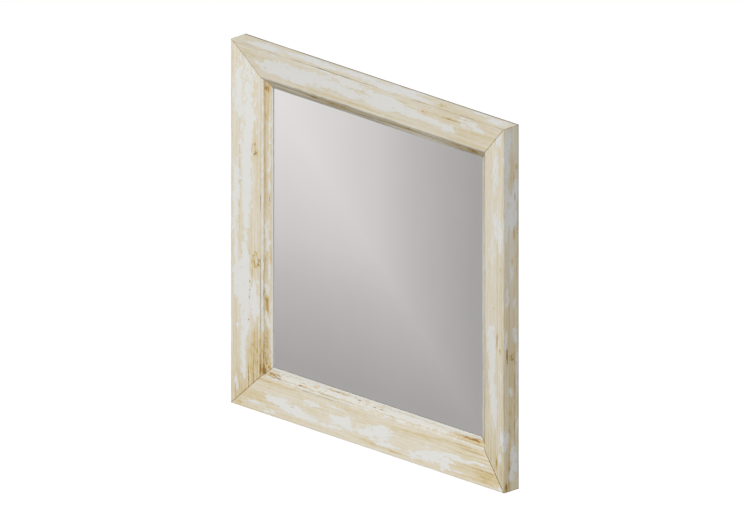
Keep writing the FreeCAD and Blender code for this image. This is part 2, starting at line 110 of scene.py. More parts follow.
STAIN = {
    "top": ((75, 12, 12, 1, 0.6), (180, 14, 50, 1.5, 0.45), (-55, 44, 60, 1.5, 0.35),
            (215, 6, 20, 1.2, 0.5), (205, 30, 60, 26, 0.16), (200, -10, 70, 14, 0.12)),
    "right": ((-255, 21, 10, 1.8, 0.9), (-55, 19, 12, 2, 0.6), (-170, 33, 2, 2, 0.7), (65, 10, 3, 2, 0.5),
              (-4, 28, 2, 2.5, 0.5), (-265, 30, 45, 30, 0.3), (-100, 48, 80, 3, 0.2),
              (-293, -5, 8, 3, 0.9), (-200, -14, 90, 2, 0.3), (-150, -24, 90, 3, 0.3),
              (-75, -8, 14, 1.5, 1), (78, -20, 5, 1.5, 0.8), (-110, -28, 20, 2, 0.4),
              (-270, -12, 30, 2, 0.4), (-150, -16, 230, 24, 0.3), (231, -28, 5, 1.2, 0.9),
              (226, -20, 26, 2.2, 0.4), (182, -25, 8, 1.2, 0.8), (122, -23, 8, 1.5, 0.7),
              (205, -16, 40, 0.9, 0.5), (60, -28, 60, 1, 0.5), (150, -30, 40, 1.2, 0.5)),
    "bottom": ((10, 9, 40, 1.6, 0.55), (55, 7, 20, 1.5, 0.5), (90, 44, 60, 2, 0.4),
               (-45, 47, 40, 1.5, 0.4), (215, 22, 40, 1.6, 0.15), (262, 14, 30, 9, 0.36),
               (-170, 23, 8, 1, 0.7), (-285, 5, 8, 4, 0.4), (130, 48, 40, 1.5, 0.45),
               (200, 49, 42, 5, 0.26), (-200, 48, 40, 2, 0.3), (-255, 28, 55, 30, 0.2),
               (230, 15, 70, 22, 0.16)),
    "left": ((-208, 42, 42, 12, 0.5), (-157, 31, 1.5, 1.5, 1), (-130, 33, 25, 1, 0.6),
             (-85, 39, 20, 1.2, 0.5), (8, 6, 4, 3, 0.5), (-250, 31, 22, 1.2, 0.6),
             (-275, 8, 20, 1.5, 0.35), (75, 10, 15, 1, 0.35), (-270, 26, 40, 30, 0.32),
             (-120, 32, 4, 1, 0.8), (-108, 34, 3, 1, 0.8), (-95, 33, 4, 1, 0.7), (-75, 34, 3, 1.2, 0.7),
             (-45, 33, 5, 1, 0.7), (-208, 57, 42, 5, 0.35), (-236, 57, 8, 5, 0.8)),
}
# Knots: the same four sizes and a strength, drawn as broken brown rings.
KNOTS = {
    "top": ((122, 16, 6, 4, 0.85), (152, -12, 7, 5, 0.8)),
    "right": ((-70, 10, 4, 2.6, 0.7), (-80, -19, 4.5, 4, 0.9)),
    "bottom": (),
    "left": ((-57, 45, 12, 7, 0.8), (126, 42, 10, 5, 0.8)),
}
# End of a side whose mitre holds most dirt: the lower right corner of the frame.
SOILED_END = {"top": 0, "right": -1, "bottom": 1, "left": 0}
# Dust on the outer edge and the face of each side, with painted shade added on the top face and on the right
# side, dirt along the back edge and the front arris, whitewash and painted shade on the bevel and on the nose
# under it, where the white on the left nose is also painted light thrown back from the glass, and dirt in the
# line where the face ends.
EDGE_DUST_AND_SHADE = {"top": 0.02, "right": 0.06, "bottom": 0.02, "left": 0.02}
FACE_DUST_AND_SHADE = {"top": 0.03, "right": 0.07, "bottom": 0.0, "left": 0.0}
BACK_GRIME = {"top": 1.8, "right": 0.45, "bottom": 0.3, "left": 0.3}
ARRIS_GRIME = {"top": 0.8, "right": 0.7, "bottom": 0.2, "left": 0.4}
BEVEL_WHITE = {"top": 0.3, "right": 0.4, "bottom": 0.4, "left": 0.6}
BEVEL_SHADE = {"top": 0.36, "right": 0.2, "bottom": 0.0, "left": 0.0}
NOSE_SHADE = {"top": 0.4, "right": 0.3, "bottom": 0.1, "left": 0.0}
NOSE_WHITE_AND_LIGHT = {"top": 0.0, "right": 0.0, "bottom": 0.0, "left": 0.8}
FACE_END_GRIME = {"top": 0.7, "right": 0.3, "bottom": 0.3, "left": 0.14}
# Outer edges that face away from the view get white patches strewn by chance, within these limits of place
# along and across, half length and half width.
STREWN_EDGES = ("left", "bottom")
STREWN_PATCHES = 16
STREWN_LIMITS = ((-280, 280), (-32, -2), (8, 34), (2, 7))


def rounded_outline(corners, spacing):
    """Closed outline with rounded corners. A corner (first, second, radius) is cut back on both sides by
    radius / tan(half its angle) and bridged by the arc that touches both sides; straight runs and arcs are
    filled at an even spacing. Gives the points, their outward normals and the distance walked to each."""
    corners = np.array(corners, float)
    spots, radii = corners[:, :2], corners[:, 2]
    to_last = np.roll(spots, 1, 0) - spots
    to_next = np.roll(spots, -1, 0) - spots
    to_last /= np.linalg.norm(to_last, axis=1, keepdims=True)
    to_next /= np.linalg.norm(to_next, axis=1, keepdims=True)
    half = np.arccos(np.clip((to_last * to_next).sum(1), -1, 1)) / 2
    cut = (radii / np.tan(half))[:, None]
    starts, ends = spots + to_last * cut, spots + to_next * cut
    middle = to_last + to_next
    length = np.linalg.norm(middle, axis=1, keepdims=True)
    centres = spots + middle / np.where(length > 0, length, 1) * (radii / np.sin(half))[:, None]
    runs = []
    for number in range(len(spots)):
        sweep = np.pi - 2 * half[number]
        if radii[number] > 0:
            steps = max(3, int(np.ceil(sweep * radii[number] / spacing)))
            share = np.linspace(0, 1, steps + 1)[:, None]
            first, last = starts[number] - centres[number], ends[number] - centres[number]
            arc = (first * np.sin((1 - share) * sweep) + last * np.sin(share * sweep)) / np.sin(sweep)
            runs.append(centres[number] + arc)
        else:
            runs.append(spots[number:number + 1])
        following = starts[(number + 1) % len(spots)]
        pieces = int(np.ceil(np.linalg.norm(following - ends[number]) / spacing))
        share = np.linspace(0, 1, pieces + 1)[1:-1, None]
        runs.append(ends[number] + share * (following - ends[number]))
    points = np.concatenate(runs)
    tangent = np.roll(points, -1, 0) - np.roll(points, 1, 0)
    normals = np.stack([tangent[:, 1], -tangent[:, 0]], 1)
    area = (points[:, 0] * np.roll(points[:, 1], -1) - points[:, 1] * np.roll(points[:, 0], -1)).sum()
    normals *= np.sign(area) / np.linalg.norm(normals, axis=1, keepdims=True)
    walked = np.concatenate([[0], np.cumsum(np.linalg.norm(np.diff(points, axis=0), axis=1))])
    return points, normals, walked


def mitred_stations(inset):
    """Places along one side for each point of its section. A point at an inset runs between the two mitres,
    from -(half side - inset) to the same in front; stations crowd in the last millimetres before each mitre.
    Gives the places and, for each, the distance left to the nearer mitre."""
    reach = HALF_SIDE - inset - JOINT_GAP
    crowd = CROWD_SHARES * MITRE_CROWD
    steps = int(2 * HALF_SIDE / ALONG_SPACING)
    share = np.concatenate([-np.ones(len(crowd)), np.linspace(-1, 1, steps), np.ones(len(crowd))])
    shift = np.concatenate([crowd - MITRE_MARGIN, np.zeros(steps), (MITRE_MARGIN - crowd)[::-1]])
    along = share[:, None] * (reach - MITRE_MARGIN)[None] + shift[:, None]
    return along, reach[None] - np.abs(along)


RIPPLE_WAVES = 9
RIPPLE_HEIGHT = 0.32


def ripple(seed, along, across, long_wave, wide_wave):
    """Smooth random field of about -1 to 1: a few plane sine waves, added and scaled, whose lengths are
    spread round the given ones and whose phases are drawn from the seed."""
    draw = np.random.default_rng(seed)
    total = np.zeros_like(along)
    for wave in range(RIPPLE_WAVES):
        pull_along, pull_across = draw.normal(0, 1, 2)
        phase = draw.uniform(0, 2 * np.pi)
        waves = pull_along * along / long_wave + pull_across * across / wide_wave
        total += np.sin(2 * np.pi * waves + phase)
    return total * RIPPLE_HEIGHT


def bell(away, width):
    """Bell curve: e to the power of minus the square of a distance over a width."""
    return np.exp(-(away / width) ** 2)


def climb(value, start, run):
    """Straight climb of a value from 0 at its start to 1 after a run, level outside."""
    return np.clip((value - start) / run, 0, 1)


def spread(along, across, patches):
    """Joined strength of soft patches: each is its strength times 2 to the power of minus the elliptic
    distance cubed, and together they give one minus the product of what each leaves free."""
    free = np.ones_like(along)
    for place_along, place_across, half_length, half_width, *strength in patches:
        away = ((along - place_along) / half_length) ** 2 + ((across - place_across) / half_width) ** 2
        free *= 1 - (strength[0] if strength else 1) * 2.0 ** (-away ** 1.5)
    return 1 - free


KNOT_RING = 0.8
KNOT_RING_WIDTH = 0.28
KNOT_HALO = 1.5


def knotted(along, across, knots):
    """Strength of knots: round each, a ring that comes and goes and a wide soft halo, each a bell curve of
    the elliptic distance from its middle, which is made uneven."""
    free = np.ones_like(along)
    for number, (place_along, place_across, half_length, half_width, strength) in enumerate(knots):
        away = np.hypot((along - place_along) / half_length, (across - place_across) / half_width)
        away = away + 0.18 * ripple(100 + number, along, across, 9, 7)
        broken = np.clip(0.55 + 0.6 * ripple(110 + number, along, across, 12, 9), 0, 1)
        ring = 0.8 * broken * bell(away - KNOT_RING, KNOT_RING_WIDTH)
        free *= 1 - strength * (ring + 0.2 * bell(away, KNOT_HALO))
    return 1 - free


def strewn(seed):
    """Patches strewn over an edge: each of their four values is drawn evenly between its two limits."""
    draw = np.random.default_rng(seed)
    return np.stack([draw.uniform(*limits, STREWN_PATCHES) for limits in STREWN_LIMITS], 1)


def turned(x, z, quarters):
    """A place on the top side carried round the middle of the mirror by quarter turns."""
    for step in range(quarters):
        x, z = z, -x
    return x, z


def surface(name, grids, fields=None, ring=False):
    """Skin over grids of points, rows by columns. Columns close on themselves and rows too in a ring;
    otherwise the first and last row are closed by one flat face each. Each grid is turned outwards by the
    sign of the volume under its skin, measured from its own middle."""
    faces, smooth, start = [], [], 0
    for points in grids:
        rows, columns = points.shape[:2]
        index = np.arange(rows * columns).reshape(rows, columns)
        here = index if ring else index[:-1]
        beyond = np.roll(index, -1, 0) if ring else index[1:]
        quads = np.stack([here, np.roll(here, -1, 1), np.roll(beyond, -1, 1), beyond], -1).reshape(-1, 4)
        flat = points.reshape(-1, 3) - points.reshape(-1, 3).mean(0)
        diagonals = np.cross(flat[quads[:, 2]] - flat[quads[:, 0]], flat[quads[:, 3]] - flat[quads[:, 1]])
        caps = [] if ring else [index[0][::-1], index[-1]]
        if (flat[quads].mean(1) * diagonals).sum() < 0:
            quads = quads[:, ::-1]
            caps = [cap[::-1] for cap in caps]
        faces += (quads + start).tolist() + [(cap + start).tolist() for cap in caps]
        smooth += [True] * len(quads) + [False] * len(caps)
        start += rows * columns
    mesh = bpy.data.meshes.new(name)
    mesh.from_pydata(np.concatenate([points.reshape(-1, 3) for points in grids]), [], faces)
    mesh.polygons.foreach_set("use_smooth", smooth)
    for key, values in (fields or {}).items():
        vector = values.shape[-1] == 3 and values.ndim == 3
        attribute = mesh.attributes.new(key, "FLOAT_VECTOR" if vector else "FLOAT", "POINT")
        attribute.data.foreach_set("vector" if vector else "value", values.astype(np.float32).ravel())
    mesh.update()
    piece = bpy.data.objects.new(name, mesh)
    bpy.context.scene.collection.objects.link(piece)
    return piece


def sunk_side(section, quarters, sunk, board_shift):
    """One mitred length: its section carried between the mitres, each point moved inwards along the section's
    normal by the depth that sunk gives for its place along and across, in millimetres, and by the groove at
    the mitre. Also gives those places, the distance to the mitre and the board coordinate of the grain."""
    outline, normals, walked = section
    along, gap = mitred_stations(outline[:, 0])
    sense = SENSE[SIDES[quarters]]
    along_mm = sense * along / MM
    across_mm = np.broadcast_to(walked / MM, along.shape)
    groove = np.clip(1 - gap / GROOVE_HALF_WIDTH, 0, 1)
    depth = sunk(along_mm, across_mm) * MM + GROOVE_DEPTH * groove ** 1.5
    inset = outline[:, 0] - normals[:, 0] * depth
    y = outline[:, 1] - normals[:, 1] * depth
    x, z = turned(along, HALF_SIDE - inset, quarters)
    board = np.stack([sense * along + board_shift[0], inset + board_shift[1], y + board_shift[2]], -1)
    return np.stack([x, y, z], -1), along_mm, across_mm, gap / MM, board


CLEAN_MITRE_WIDTH = 0.6


def mitre_dirt(along, gap, side, soiled_width, clean_dirt):
    """Dirt in the mitres: a bell curve of the distance to the mitre, full and wide at a soiled end, weaker
    and narrow at the others."""
    soiled = along * SOILED_END[side] > 0
    return np.where(soiled, bell(gap, soiled_width), clean_dirt * bell(gap, CLEAN_MITRE_WIDTH))


nose_front = LEDGE_DEPTH - NOSE_HEIGHT
bevel_front = nose_front - BEVEL_DROP
rail_corners = ((0, FRAME_BACK, ARRIS_RADIUS), (0, bevel_front - FACE_DROP, ARRIS_RADIUS),
                (BEVEL_INSET, bevel_front, INNER_EASE), (NOSE_INSET, nose_front, INNER_EASE),
                (NOSE_INSET, LEDGE_DEPTH, INNER_EASE), (REBATE_INSET, LEDGE_DEPTH, INNER_EASE),
                (REBATE_INSET, FRAME_BACK, INNER_EASE))
rail_outline, rail_normals, rail_walked = rounded_outline(rail_corners, ACROSS_SPACING)
front_arris = rail_walked[np.argmin(rail_outline[:, 1])]
rail_section = (rail_outline, rail_normals, rail_walked - front_arris)
bevel_mm = np.hypot(BEVEL_INSET, FACE_DROP) / MM
nose_mm = bevel_mm + np.hypot(BEVEL_WIDTH, BEVEL_DROP) / MM
face_end_mm = nose_mm + NOSE_HEIGHT / MM
edge_depth_mm = (FRAME_BACK - rail_low.y) / MM

# Millimetres that are off a rail's skin: an even film, long and short unevenness and its limit, which dies
# out near the front arris, and knocks on the front arris and the line where the face ends.
FILM_OFF = 0.02
LONG_UNEVEN = 0.10
SHORT_UNEVEN = 0.05
MOST_UNEVEN = 0.4
CALM_WIDTH = 8
FRONT_KNOCK, FRONT_KNOCK_WIDTH = 0.3, 1.8
INNER_KNOCK, INNER_KNOCK_WIDTH = 0.25, 1.2


def handled_wood(along, across):
    """How far a rail's skin is sunk: a thin even film left off, long shallow unevenness of the planed face,
    and knocks that have rounded the two front arrises here and there, each a bell curve across."""
    uneven = LONG_UNEVEN * (1 + ripple(3, along, across, 210, 60))
    uneven = uneven + SHORT_UNEVEN * (1 + ripple(4, along, across, 60, 9))
    calm = climb(np.abs(across), 0, CALM_WIDTH)
    front = bell(across, FRONT_KNOCK_WIDTH) * np.clip(ripple(5, along, across * 0, 75, 30) - 0.25, 0, 1)
    inner = bell(across - bevel_mm, INNER_KNOCK_WIDTH)
    inner = inner * np.clip(ripple(6, along, across * 0, 60, 30) - 0.3, 0, 1)
    return FILM_OFF + np.clip(uneven, 0, MOST_UNEVEN) * calm + FRONT_KNOCK * front + INNER_KNOCK * inner


def put(tree, kind, inputs=None, **settings):
    """Add a node: settings are its own properties, and inputs are linked where a socket is given."""
    node = tree.nodes.new(kind)
    for key, value in settings.items():
        setattr(node, key, value)
    for key, value in (inputs or {}).items():
        if isinstance(value, bpy.types.NodeSocket):
            tree.links.new(value, node.inputs[key])
        else:
            node.inputs[key].default_value = value
    return node


def calc(tree, operation, first, second=0.5):
    """Math of two sockets or numbers."""
    return put(tree, "ShaderNodeMath", {0: first, 1: second}, operation=operation).outputs[0]


def weighed(tree, start, *parts):
    """A start value plus each part times its weight."""
    for value, weight in parts:
        start = calc(tree, "ADD", start, calc(tree, "MULTIPLY", value, weight))
    return start


def bumped(tree, shader, height, strength, distance):
    """Raise a shader's surface by a height."""
    bump = put(tree, "ShaderNodeBump", {"Height": height, "Strength": strength, "Distance": distance})
    tree.links.new(bump.outputs["Normal"], shader.inputs["Normal"])


def ease(tree, value, low, high):
    """Smooth step of a value from 0 at low to 1 at high."""
    node = put(tree, "ShaderNodeMapRange", {"Value": value, "From Min": low, "From Max": high},
               interpolation_type="SMOOTHSTEP")
    return node.outputs[0]


def blend(tree, share, under, over):
    """One colour laid over another by a share."""
    node = put(tree, "ShaderNodeMix", {0: share, 6: under, 7: over}, data_type="RGBA")
    return node.outputs[2]


def stretched(tree, vector, along, across, depth):
    """A place with its three axes scaled, so that a noise read there is drawn out."""
    return put(tree, "ShaderNodeVectorMath", {0: vector, 1: (along, across, depth)},
               operation="MULTIPLY").outputs[0]


def noise(tree, vector, scale=1.0, detail=2.0, roughness=0.5):
    """Noise value at a place."""
    return put(tree, "ShaderNodeTexNoise", {"Vector": vector, "Scale": scale, "Detail": detail,
                                            "Roughness": roughness}).outputs[0]


def graded(tree, value, stops):
    """Colour of a value between stops, each a place from 0 to 1 and a colour."""
    ramp = put(tree, "ShaderNodeValToRGB", {"Fac": value})
    for place, _ in stops[1:-1]:
        ramp.color_ramp.elements.new(place)
    for element, (place, colour) in zip(ramp.color_ramp.elements, stops):
        element.position = place
        element.color = colour
    return ramp.outputs["Color"]


def tone(red, green, blue):
    """A colour matched on a screen, 0 to 255, with the screen's curve undone."""
    share = np.array([red, green, blue]) / 255
    linear = np.where(share <= 0.04045, share / 12.92, ((share + 0.055) / 1.055) ** 2.4)
    return (*linear.tolist(), 1.0)


def group(name, inputs, outputs):
    """An empty shader node group with named sockets, and its two ends."""
    tree = bpy.data.node_groups.new(name, "ShaderNodeTree")
    for socket, kind in inputs:
        tree.interface.new_socket(socket, in_out="INPUT", socket_type=kind)
    for socket in outputs:
        tree.interface.new_socket(socket, in_out="OUTPUT", socket_type="NodeSocketFloat")
    return tree, tree.nodes.new("NodeGroupInput").outputs, tree.nodes.new("NodeGroupOutput").inputs


def finish_of(name):
    """A new material with its Principled shader."""
    material = bpy.data.materials.new(name)
    material.use_nodes = True
    return material, material.node_tree, material.node_tree.nodes["Principled BSDF"]


# Grain of pine, drawn in the board's own length, width and depth: long streaks, growth rings cut lengthwise,
# short dark pores, and thin resin veins that show only in places.
pine_figure, figure_in, figure_out = group("pine_figure", [("Board", "NodeSocketVector")],
                                           ["Streak", "Ring", "Pore", "Vein"])
streak = noise(pine_figure, stretched(pine_figure, figure_in["Board"], 6, 250, 250), 1, 4, 0.6)
pine_figure.links.new(streak, figure_out["Streak"])
pore = noise(pine_figure, stretched(pine_figure, figure_in["Board"], 26, 900, 900), 1, 2, 0.6)
pine_figure.links.new(pore, figure_out["Pore"])
heart = put(pine_figure, "ShaderNodeVectorMath", {0: figure_in["Board"], 1: (0, -0.035, 0.075)},
            operation="ADD").outputs[0]
rings = put(pine_figure, "ShaderNodeTexWave",
            {"Vector": stretched(pine_figure, heart, 0.12, 1, 1), "Scale": 62, "Distortion": 5, "Detail": 2,
             "Detail Scale": 9}, wave_type="RINGS", rings_direction="X")
pine_figure.links.new(rings.outputs["Fac"], figure_out["Ring"])
thread = noise(pine_figure, stretched(pine_figure, figure_in["Board"], 9, 560, 560), 1, 2, 0.5)
resinous = noise(pine_figure, stretched(pine_figure, figure_in["Board"], 7, 38, 38), 1, 1, 0.5)
vein = calc(pine_figure, "MULTIPLY", ease(pine_figure, thread, 0.57, 0.70),
            ease(pine_figure, resinous, 0.44, 0.62))
pine_figure.links.new(vein, figure_out["Vein"])

# Whitewash rubbed through: a cover of 0 to 1 is broken up by flakes, scrapes along the grain and fine flecks,
# and cut at two heights, one for paint that still covers and one for the thin haze left in the wood.
worn_whitewash, wash_in, wash_out = group(
    "worn_whitewash", [("Board", "NodeSocketVector"), ("Cover", "NodeSocketFloat"),
                       ("Streak", "NodeSocketFloat")], ["Paint", "Haze", "Film", "Flake"])
flake = noise(worn_whitewash, stretched(worn_whitewash, wash_in["Board"], 85, 185, 185), 1, 4, 0.62)
scrape = noise(worn_whitewash, stretched(worn_whitewash, wash_in["Board"], 18, 480, 480), 1, 2, 0.5)
fleck = noise(worn_whitewash, stretched(worn_whitewash, wash_in["Board"], 210, 430, 430), 1, 3, 0.6)
level = wash_in["Cover"]
for breakup, amount in ((flake, 1.8), (wash_in["Streak"], 0.4), (scrape, 0.45), (fleck, 0.8)):
    level = weighed(worn_whitewash, level, (calc(worn_whitewash, "SUBTRACT", breakup), amount))
covering = ease(worn_whitewash, level, 0.52, 0.57)
worn_whitewash.links.new(covering, wash_out["Paint"])
worn_whitewash.links.new(ease(worn_whitewash, level, -0.5, 1.1), wash_out["Haze"])
worn_whitewash.links.new(calc(worn_whitewash, "MULTIPLY", covering, calc(
    worn_whitewash, "ADD", flake, 0.4)), wash_out["Film"])
broken = weighed(worn_whitewash, flake, (calc(worn_whitewash, "SUBTRACT", fleck), 0.4))
worn_whitewash.links.new(broken, wash_out["Flake"])

# Brown of dirt, also laid on as painted shade.
GRIME_AND_SHADE_COLOUR = tone(107, 94, 64)
GRAIN_RELIEF = 0.0003


def worn_finish(name, shades, thin, white, haze_share, soak_edges):
    """Whitewashed wood: grain and stain move the wood through its shades, from pale to brown; haze and paint
    lie over it except where stain has lifted them, and a dark brown lies where the grime_and_shade field
    says, soil in places and painted shade in others. The stain soaks in between the two soak edges of the
    flakes, so that close edges mottle it. Paint is rougher than bare wood and stands proud of it."""
    material, tree, shader = finish_of(name)
    field = {key: put(tree, "ShaderNodeAttribute", attribute_name=key).outputs
             for key in ("board", "cover", "stain", "grime_and_shade")}
    grain = put(tree, "ShaderNodeGroup", {"Board": field["board"]["Vector"]}, node_tree=pine_figure).outputs
    film = put(tree, "ShaderNodeGroup", {"Board": field["board"]["Vector"], "Cover": field["cover"]["Fac"],
                                         "Streak": grain["Streak"]}, node_tree=worn_whitewash).outputs
    mottle = weighed(tree, 0.3, (ease(tree, film["Flake"], *soak_edges), 1.1))
    soak = calc(tree, "MULTIPLY", field["stain"]["Fac"], mottle)
    tint = weighed(tree, calc(tree, "ADD", soak, -0.35),
                   (grain["Streak"], 1.18), (grain["Ring"], 0.22), (grain["Vein"], 0.3))
    wood = graded(tree, tint, [(place, tone(*colour)) for place, colour in shades])
    sound = weighed(tree, 1, (ease(tree, soak, 0.25, 0.65), -0.88))
    haze = calc(tree, "MULTIPLY", calc(tree, "MULTIPLY", film["Haze"], haze_share), sound)
    paint = calc(tree, "MULTIPLY", calc(tree, "MULTIPLY", film["Paint"], 0.93), sound)
    colour = blend(tree, paint, blend(tree, haze, wood, thin), white)
    lean = weighed(tree, -0.2, (grain["Streak"], 2.4))
    colour = blend(tree, calc(tree, "MULTIPLY", field["grime_and_shade"]["Fac"], lean), colour, GRIME_AND_SHADE_COLOUR)
    tree.links.new(colour, shader.inputs["Base Color"])
    rough = weighed(tree, 0.5, (grain["Pore"], 0.16), (film["Paint"], 0.14))
    tree.links.new(rough, shader.inputs["Roughness"])
    height = weighed(tree, film["Film"], (grain["Streak"], 0.5), (grain["Pore"], 0.35))
    bumped(tree, shader, height, 0.5, GRAIN_RELIEF)
    shader.inputs["Specular IOR Level"].default_value = 0.3
    return material


whitewashed_pine = worn_finish(
    "whitewashed_pine", ((0.0, (226, 221, 209)), (0.22, (222, 214, 196)), (0.42, (218, 206, 180)),
                         (0.6, (211, 195, 154)), (0.8, (203, 174, 104)), (1.0, (154, 118, 54))),
    tone(226, 220, 207), tone(226, 225, 221), 0.66, (0.0, 1.0))

# Step from one length to the next in the board that all four are drawn in, in metres.
BOARD_STEP = np.array([1.7, 0.11, 0.07])
# Cover of whitewash, 0 to 1: the thin brushed coat, what a full patch adds, what rubbing takes off a bare
# patch and an arris, and the splashes on the hidden back.
THIN_COVER = 0.17
PATCH_COVER = 0.72
BARE_LOSS = 0.7
ARRIS_LOSS = 0.5
BACK_COVER = 0.05
# Widths in millimetres of the rubbed arris and face end, of dirt in a line, on the back edge and in a mitre.
ARRIS_RUB, FACE_END_RUB = 1.6, 0.8
DIRT_LINE = 0.7
BACK_DIRT = 2.2
MITRE_WIDTH = 0.9
# Strength of stain in a soiled and in a clean mitre, and of dirt in a clean one. Stain strays from its place
# along and across by these shares of what paint does.
SOILED_SOAK, CLEAN_SOAK = 0.8, 0.6
CLEAN_DIRT = 0.42
STAIN_STRAY_SHARES = (0.3, 0.4)

for quarters, side in enumerate(SIDES):
    points, along, across, gap, board = sunk_side(rail_section, quarters, handled_wood, BOARD_STEP * quarters)
    stray_along = 5 * ripple(20 + quarters, along, across, 60, 20) + 2 * ripple(30, along, across, 14, 5)
    stray_across = 1.6 * ripple(40 + quarters, along, across, 50, 16)
    stray_across = stray_across + 0.7 * ripple(50, along, across, 10, 4)
    white_patches = list(WHITE[side])
    if side in STREWN_EDGES:
        white_patches += strewn(60 + quarters).tolist()
    white = spread(along + stray_along, across + stray_across, white_patches)
    bare = spread(along + stray_along, across + stray_across, BARE[side])
    bevel = climb(across - bevel_mm, 0.2, 0.4) * climb(nose_mm - across, 0, 0.4)
    nose = climb(across, nose_mm, 0.5)
    # The white on the left nose is partly painted light, standing in for light thrown back from the glass.
    turned_white = np.maximum(BEVEL_WHITE[side] * bevel, NOSE_WHITE_AND_LIGHT[side] * nose)
    white = np.maximum(white * (1 - nose), turned_white)
    rubbed = bell(across, ARRIS_RUB) + bell(across - bevel_mm, FACE_END_RUB)
    rubbed *= 0.55 + 0.45 * ripple(70 + quarters, along, across * 0, 40, 30)
    cover = (THIN_COVER + PATCH_COVER * white) * (1 - BARE_LOSS * bare)
    cover = cover * (1 - ARRIS_LOSS * np.clip(rubbed, 0, 1))
    unseen = across > face_end_mm + 1
    cover = np.where(unseen, BACK_COVER, cover)
    share_along, share_across = STAIN_STRAY_SHARES
    stain = spread(along + share_along * stray_along, across + share_across * stray_across, STAIN[side])
    soaked = np.where(along * SOILED_END[side] > 0, SOILED_SOAK, CLEAN_SOAK) * bell(gap, MITRE_WIDTH)
    stain = 1 - (1 - stain) * (1 - soaked) * (1 - knotted(along, across, KNOTS[side]))
    patchy = np.clip(0.62 + 0.22 * ripple(120 + quarters, along, across * 0, 70, 30), 0, 1)
    # Brown field of dirt in mitres and lines, and of painted shade on faces, bevels and noses.
    grime_and_shade = mitre_dirt(along, gap, side, MITRE_WIDTH, CLEAN_DIRT)
    grime_and_shade *= np.clip(0.85 + 0.3 * ripple(130 + quarters, along, across, 12, 9), 0, 1)
    grime_and_shade += FACE_END_GRIME[side] * patchy * bell(across - bevel_mm, DIRT_LINE)
    grime_and_shade += ARRIS_GRIME[side] * patchy * bell(across + 0.3, DIRT_LINE)
    grime_and_shade += BACK_GRIME[side] * bell(across + edge_depth_mm, BACK_DIRT)
    # Painted shade: the right side's edge and face and the top face are darkened beyond their dust, as they
    # turn from the light.
    dust_and_shade = np.where(across < 0, EDGE_DUST_AND_SHADE[side], FACE_DUST_AND_SHADE[side] * (across < bevel_mm))
    # Painted shade on the bevel and on the nose under it, strongest on the top and right sides.
    turned_in_shade = np.maximum(BEVEL_SHADE[side] * (across > bevel_mm), NOSE_SHADE[side] * nose)
    grime_and_shade = np.maximum(np.maximum(grime_and_shade, dust_and_shade), np.where(unseen, 0, turned_in_shade))
    piece = surface(f"{SIDE_NAMES[side]}_pine", [points],
                    {"board": board, "cover": cover, "stain": stain, "grime_and_shade": np.clip(grime_and_shade, 0, 1)})
    piece.data.materials.append(whitewashed_pine)
    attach(piece, "frame")
    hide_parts(SIDE_NAMES[side])

# Inner slips. Thin pine slips with a hollow band that dips towards the glass and a flat lip that holds it,
# mitred on the same lines and glued behind the nose; their whitewash has worn and yellowed more.
SIGHT_INSET = HALF_SIDE - slip_low.z
SLIP_OUTER_INSET = HALF_SIDE - slip_high.z
LIP_WIDTH = 4.2 * MM
LIP_INSET = SIGHT_INSET - LIP_WIDTH
BAND_FALL = 4.7 * MM
LIP_FALL = 0.6 * MM
BAND_SAG = 0.5 * MM
SLIP_EASE = 0.4 * MM
SLIP_UNEVEN = 0.04
SLIP_WHITE = {
    "top": ((-200, 5, 40, 3, 0.6), (-20, 6, 40, 4, 0.4), (130, 4, 50, 3, 0.6)),
    "right": ((0, 4, 230, 8, 0.6),),
    "bottom": ((-60, 4, 160, 7, 0.8), (80, 5, 100, 7, 0.8), (-195, 5, 40, 5, 0.8), (190, 11, 50, 3, 0.8)),
    "left": ((-152, 5, 9, 5), (-103, 5, 9, 4), (-75, 8, 20, 3), (-15, 5, 30, 4, 0.8), (60, 7, 60, 3, 0.6),
             (140, 8, 60, 3, 0.6), (-170, 12.5, 70, 2.5), (-205, 5, 35, 5, 0.3)),
}
LIP_WHITE = {"top": 0.75, "right": 0.8, "bottom": 0.7, "left": 0.28}
